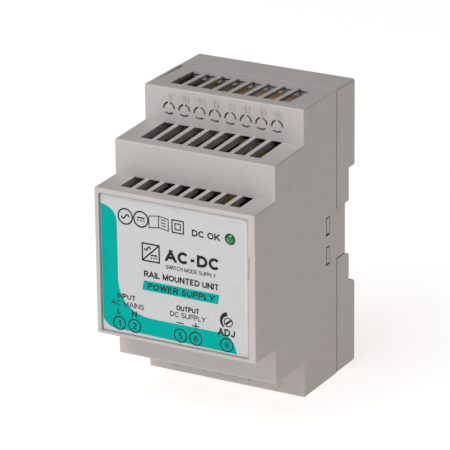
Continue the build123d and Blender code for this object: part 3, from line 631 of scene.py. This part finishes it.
# %% Wind the spring
spring_low, spring_high = (np.array(v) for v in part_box("clip_spring"))
WIRE_R = 0.2 * MM
TURNS = 8.5
CLOSED_ENDS = 0.09
coil_r = (spring_high[0] - spring_low[0]) / 2 - WIRE_R
centre = (spring_low + spring_high) / 2
t = np.linspace(0, 1, 260)
rise = np.clip((t - CLOSED_ENDS) / (1 - 2 * CLOSED_ENDS), 0, 1)
dense = 0.06 * (t - rise)  # keeps a little pitch in the closed coils, so the wire clears itself
height = spring_high[2] - spring_low[2] - 2 * WIRE_R
angle = 2 * np.pi * TURNS * t
helix = np.column_stack([
    centre[0] + coil_r * np.cos(angle),
    centre[1] + coil_r * np.sin(angle),
    spring_low[2] + WIRE_R + height * (rise + dense),
])
coil = new_piece("wound_spring", *wire(helix, WIRE_R))
for face in coil.data.polygons:
    face.use_smooth = True
TRAVEL = next(j["range_m"][1] for j in frame["joints"] if j["name"] == "clip_slide")
length = spring_high[2] - spring_low[2]
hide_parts("clip_spring")
(length - TRAVEL) / length
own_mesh(coil)
print("spring length mm:", round(length / MM, 2))

# %% [markdown]
# ## Finishes
# A material is written as arithmetic. One small class wraps a socket and turns + and * into
# Math nodes; one method adds any other node. Everything reads Object coordinates, which on
# these pieces are metres in the object's own frame, so a grain has its true size.


# %% Shader arithmetic
class Wave:
    """A number that varies over a surface: a socket with Python's arithmetic."""

    def __init__(self, finish, socket):
        self.finish, self.socket = finish, socket

    def _math(self, operation, first, second):
        return self.finish.node("ShaderNodeMath", {"operation": operation}, {0: first, 1: second})

    def __add__(self, other):
        return self._math("ADD", self, other)

    def __mul__(self, other):
        return self._math("MULTIPLY", self, other)

    __radd__, __rmul__ = __add__, __mul__


print("Wave ready")


# %% A finish and its nodes
class Finish:
    """A material in the making: a Principled shader and the nodes that feed it."""

    def __init__(self, name, colour, roughness, **fixed):
        self.material = bpy.data.materials.new(name)
        self.material.use_nodes = True
        self.tree = self.material.node_tree
        self.shader = self.tree.nodes["Principled BSDF"]
        self.colour = (*colour, 1.0)
        self.set("Base Color", self.colour)
        self.set("Roughness", roughness)
        for socket, value in fixed.items():
            self.set(socket.replace("_", " "), value)
        place = self.tree.nodes.new("ShaderNodeTexCoord")
        self.place = Wave(self, place.outputs["Object"])

    def set(self, socket, value):
        """Gives a shader socket a value, or links a wave to it."""
        self._give(self.shader.inputs[socket], value)

    def _give(self, socket, value):
        if isinstance(value, Wave):
            self.tree.links.new(value.socket, socket)
        else:
            socket.default_value = value

    def node(self, kind, settings, sockets, out=0):
        """Any node: its settings first, then its sockets' values or links."""
        node = self.tree.nodes.new(kind)
        for key, value in settings.items():
            setattr(node, key, value)
        for key, value in sockets.items():
            self._give(node.inputs[key], value)
        return Wave(self, node.outputs[out])

    def noise(self, size, detail=2.0, roughness=0.5):
        """Cloudy noise whose lumps are about size millimetres across."""
        values = {"Vector": self.place, "Scale": 1 / (size * MM), "Detail": detail, "Roughness": roughness}
        return self.node("ShaderNodeTexNoise", {}, values)

    def stretched(self, scale):
        """Object coordinates scaled by a different amount along each axis, per metre."""
        return self.node("ShaderNodeMapping", {}, {"Vector": self.place, "Scale": scale})

    def ramp(self, value, low, high, to_low=0.0, to_high=1.0):
        """Maps a stretch of a wave to another, and holds it at the ends."""
        sockets = {"Value": value, "From Min": low, "From Max": high, "To Min": to_low, "To Max": to_high}
        return self.node("ShaderNodeMapRange", {"clamp": True}, sockets)

    def mix(self, amount, first, second):
        """Blends two colours by a wave."""
        sockets = {"Factor": amount, "A": first, "B": second}
        node = self.tree.nodes.new("ShaderNodeMix")
        node.data_type = "RGBA"
        for socket in node.inputs:
            if socket.enabled and socket.name in sockets:
                self._give(socket, sockets[socket.name])
        return Wave(self, next(s for s in node.outputs if s.enabled))

    def tint(self, amount, darker):
        """Varies the base colour between itself and a darker or lighter copy."""
        other = tuple(c * darker for c in self.colour[:3]) + (1.0,)
        self.set("Base Color", self.mix(amount, self.colour, other))
        return self

    def bump(self, height, depth):
        """Relief of a given depth in millimetres."""
        values = {"Height": height, "Distance": depth * MM, "Strength": 1.0}
        self.set("Normal", self.node("ShaderNodeBump", {}, values))
        return self


print("Finish ready")

# %% [markdown]
# ## Moulded plastic
# The enclosure is a light warm grey polymer from a spark-eroded mould: a fine even grain, a
# dull sheen, and very slight cloudiness in colour. Grain goes in as bump at a quarter of a
# millimetre, cloudiness as a tint of under five percent over several millimetres.


# %% Plastics
def moulded(name, colour, roughness=0.48, grain=0.22, depth=0.012, cloud=0.955):
    """A moulded polymer with spark-eroded grain and faint clouding."""
    finish = Finish(name, colour, roughness, Specular_IOR_Level=0.4)
    fine = finish.noise(grain, 3.0, 0.6)
    cloudy = finish.noise(6.0, 2.0)
    finish.tint(finish.ramp(cloudy * 0.7 + fine * 0.3, 0.35, 0.68), cloud)
    finish.set("Roughness", finish.ramp(fine, 0.3, 0.7, roughness - 0.05, roughness + 0.07))
    return finish.bump(fine, depth).material


def printed(name, colour, roughness=0.38, specular=0.45):
    """Ink on a polyester film: an even colour, slightly uneven gloss, no grain."""
    finish = Finish(name, colour, roughness, Specular_IOR_Level=specular)
    mottle = finish.noise(1.4, 2.0)
    finish.tint(finish.ramp(mottle, 0.35, 0.65), 0.96)
    finish.set("Roughness", finish.ramp(mottle, 0.3, 0.7, roughness - 0.04, roughness + 0.06))
    return finish.bump(mottle, 0.004).material


housing = moulded("housing_grey", (0.525, 0.477, 0.452))
panel = moulded("panel_grey", (0.525, 0.477, 0.452), roughness=0.42, depth=0.006)
black = moulded("black_polymer", (0.018, 0.018, 0.02), roughness=0.42)
terminal_grey = moulded("terminal_grey", (0.045, 0.045, 0.05), roughness=0.45)
trimmer_blue = moulded("trimmer_blue", (0.02, 0.09, 0.34), roughness=0.4, depth=0.004)
fuse_brown = moulded("fuse_brown", (0.09, 0.035, 0.018), roughness=0.38, depth=0.004)
film_box = moulded("film_box_yellow", (0.60, 0.43, 0.05), roughness=0.4, depth=0.004)
film_white = printed("film_light_grey", (0.555, 0.535, 0.53), 0.36)
# paler than the film: a painted highlight along the lip
lip_highlight_paint = printed("painted_highlight_lip_finish", (0.625, 0.615, 0.61), 0.32)
ink_teal = printed("ink_teal", (0.0, 0.375, 0.32), 0.6, 0.04)
ink_dark = printed("ink_dark", (0.016, 0.017, 0.02), 0.5, 0.15)
print("plastics made")

# %% [markdown]
# ## Metals
# Screws and cages are zinc plated, with faint straight marks across the head. The spring is
# drawn wire, the rotor brass and the heat sinks rolled sheet, which has long fine scratches
# one way. A stretched noise gives those: long along one axis, short across it.


# %% Metals
def metal(name, colour, roughness, grain=(600, 4000, 4000), depth=0.004):
    """A metal with directional marks: noise stretched along the axis with the small scale."""
    finish = Finish(name, colour, roughness, Metallic=1.0)
    values = {"Vector": finish.stretched(grain), "Scale": 1.0, "Detail": 3.0}
    marks = finish.node("ShaderNodeTexNoise", {}, values)
    stain = finish.noise(1.2, 2.0)
    finish.tint(finish.ramp(stain, 0.35, 0.7), 0.86)
    finish.set("Roughness", finish.ramp(marks, 0.3, 0.7, roughness - 0.07, roughness + 0.1))
    return finish.bump(marks, depth).material


zinc = metal("zinc_plated", (0.66, 0.65, 0.62), 0.30, (3500, 3500, 900))
spring_wire = metal("spring_wire", (0.58, 0.58, 0.60), 0.28)
brass = metal("rotor_brass", (0.72, 0.53, 0.26), 0.30, (3500, 3500, 900))
tin = metal("tinned_copper", (0.70, 0.69, 0.67), 0.34)
sheet = metal("rolled_aluminium", (0.77, 0.77, 0.78), 0.36, (300, 5000, 5000))
print("metals made")

# %% [markdown]
# ## Boards and parts
# The main board is tan paper laminate, faintly mottled; the control board has a mottled
# green solder mask. Windings show their turns as ridges, which a wave of the right pitch
# gives. Ferrite is a dull, slightly gritty ceramic, and sleeves and dips are glossy.


# %% Boards, windings and coatings
def laminate(name, colour, dark, size, roughness):
    """A laminate: two sizes of mottle between a colour and a darker one."""
    finish = Finish(name, colour, roughness)
    mottle = finish.noise(size, 4.0, 0.65) * 0.6 + finish.noise(size * 6, 2.0) * 0.4
    finish.set("Base Color", finish.mix(finish.ramp(mottle, 0.38, 0.62), (*colour, 1), (*dark, 1)))
    return finish.bump(mottle, 0.006).material


def wound(name, colour, pitch, roughness=0.3, direction="Y", metallic=0.0):
    """Turns of wire or tape: a sine ridge of the wire's pitch along one axis."""
    finish = Finish(name, colour, roughness, Metallic=metallic)
    ridge = finish.node(
        "ShaderNodeTexWave",
        {"wave_type": "BANDS", "bands_direction": direction, "wave_profile": "SIN"},
        {"Vector": finish.place, "Scale": 1 / (pitch * MM * 20), "Distortion": 0.4, "Detail": 1.0},
        out=1)
    # the troughs between turns are darker than the ridges: painted shade in the grooves
    finish.tint(finish.ramp(ridge, 0.0, 0.6, 1.0, 0.0), 0.55)
    return finish.bump(ridge, pitch * 0.25).material


def coated(name, colour, roughness=0.22, size=1.6):
    """A dipped or shrunk coating: glossy, with a gentle orange-peel relief."""
    finish = Finish(name, colour, roughness, Coat_Weight=0.35, Coat_Roughness=0.12)
    peel = finish.noise(size, 1.0)
    finish.tint(finish.ramp(peel, 0.35, 0.65), 0.85)
    return finish.bump(peel, 0.02).material


def gritty(name, colour, roughness=0.62):
    """Sintered ferrite: dull, with a pitted surface."""
    finish = Finish(name, colour, roughness)
    grit = finish.noise(0.35, 4.0, 0.7)
    finish.tint(finish.ramp(grit, 0.35, 0.7), 0.7)
    return finish.bump(grit, 0.02).material


tan_board = laminate("tan_laminate", (0.72, 0.48, 0.24), (0.55, 0.34, 0.16), 0.5, 0.55)
green_board = laminate("green_solder_mask", (0.025, 0.15, 0.05), (0.015, 0.10, 0.035), 0.8, 0.35)
copper = wound("copper_winding", (0.62, 0.22, 0.08), 0.6, 0.28, "Y", 0.9)
yellow_tape = wound("yellow_tape", (0.74, 0.48, 0.04), 4.0, 0.25)
ferrite = gritty("ferrite_grey", (0.05, 0.047, 0.045))
sleeve = coated("sleeve_black", (0.012, 0.012, 0.022))
blue_dip = coated("blue_dip", (0.015, 0.10, 0.33))
green_dip = coated("green_dip", (0.04, 0.13, 0.04), 0.4)
pad_grey = gritty("pad_grey", (0.33, 0.33, 0.34), 0.7)
print("board and part finishes made")

# %% [markdown]
# ## Lamp
# The lamp is a 3 mm green diode, unlit. Its tinted resin looks deep and holds a small sharp
# highlight. A dark saturated base under a smooth clear coat gives that without the noise
# that real glass brings.

# %% The lamp's resin
resin = Finish("lamp_resin", (0.009, 0.165, 0.045), 0.12, Coat_Weight=0.8, Coat_Roughness=0.05, IOR=1.5)
swirl = resin.noise(0.9, 1.0)
resin.tint(resin.ramp(swirl, 0.35, 0.65), 0.8)
resin.bump(swirl, 0.01)
lamp_resin = resin.material
print("lamp made")

# %% [markdown]
# ## Give every node its finish
# Each CAD node has one slot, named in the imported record. A table from that slot to a finish
# dresses them all, so no part is left plain. Node meshes are left alone: only the slot's
# material changes. The print, the lip and the raised numbers get their finish by name.

# %% The table of finishes
FINISHES = {
    "housing": housing, "panel": panel, "label": film_white, "clip": black, "spring_steel": spring_wire,
    "board": tan_board, "control_board": green_board, "black_plastic": black, "terminal": terminal_grey,
    "plated_steel": zinc, "tinned_copper": tin, "trimmer_blue": trimmer_blue, "rotor": brass,
    "fuse_brown": fuse_brown, "blue_lacquer": blue_dip, "green_lacquer": green_dip, "film_box": film_box,
    "ferrite": ferrite, "copper_wire": copper, "aluminium": sheet, "sleeve": sleeve, "tape": yellow_tape,
    "pad_grey": pad_grey, "lamp": lamp_resin,
}
print("finishes in the table:", len(FINISHES))

# %% Dress the nodes and the new pieces
slot_of = {part["node"]: part["material_slot"] for part in frame["record"]["subparts"]}
for name, node in frame["nodes"].items():
    for index in range(len(node.material_slots)):
        node.material_slots[index].material = FINISHES[slot_of[name]]
for piece, finish in (
    (teal_print, ink_teal), (dark_print, ink_dark), (highlight_lip, lip_highlight_paint), (coil, spring_wire),
):
    piece.data.materials.append(finish)
moulded_numbers.data.materials.append(housing)
print("dressed", len(slot_of), "nodes")

# %% [markdown]
# ## Floor
# A matt floor lies under the lowest point. It is big enough to fill the view from above, and
# it glows, as a lit studio sweep does, so that it stays white and the shadow on it is faint.

# %% Lay the floor
floor_z = cad_box[0].z
FLOOR = 3.0
corners = np.array([(-1, -1), (1, -1), (1, 1), (-1, 1)]) * FLOOR
floor_points = np.column_stack([corners, np.full(4, floor_z)])
floor_mesh = bpy.data.meshes.new("floor")
floor_mesh.from_pydata(floor_points.tolist(), [], [(0, 1, 2, 3)])
floor = bpy.data.objects.new("floor", floor_mesh)
scene.collection.objects.link(floor)
GLOW = (1, 0.97, 0.95, 1)
pale = Finish("pale_floor", (0.35, 0.35, 0.35), 0.9, Emission_Color=GLOW, Emission_Strength=0.84)
floor_mesh.materials.append(pale.material)
print("floor at mm:", round(floor_z / MM, 1))
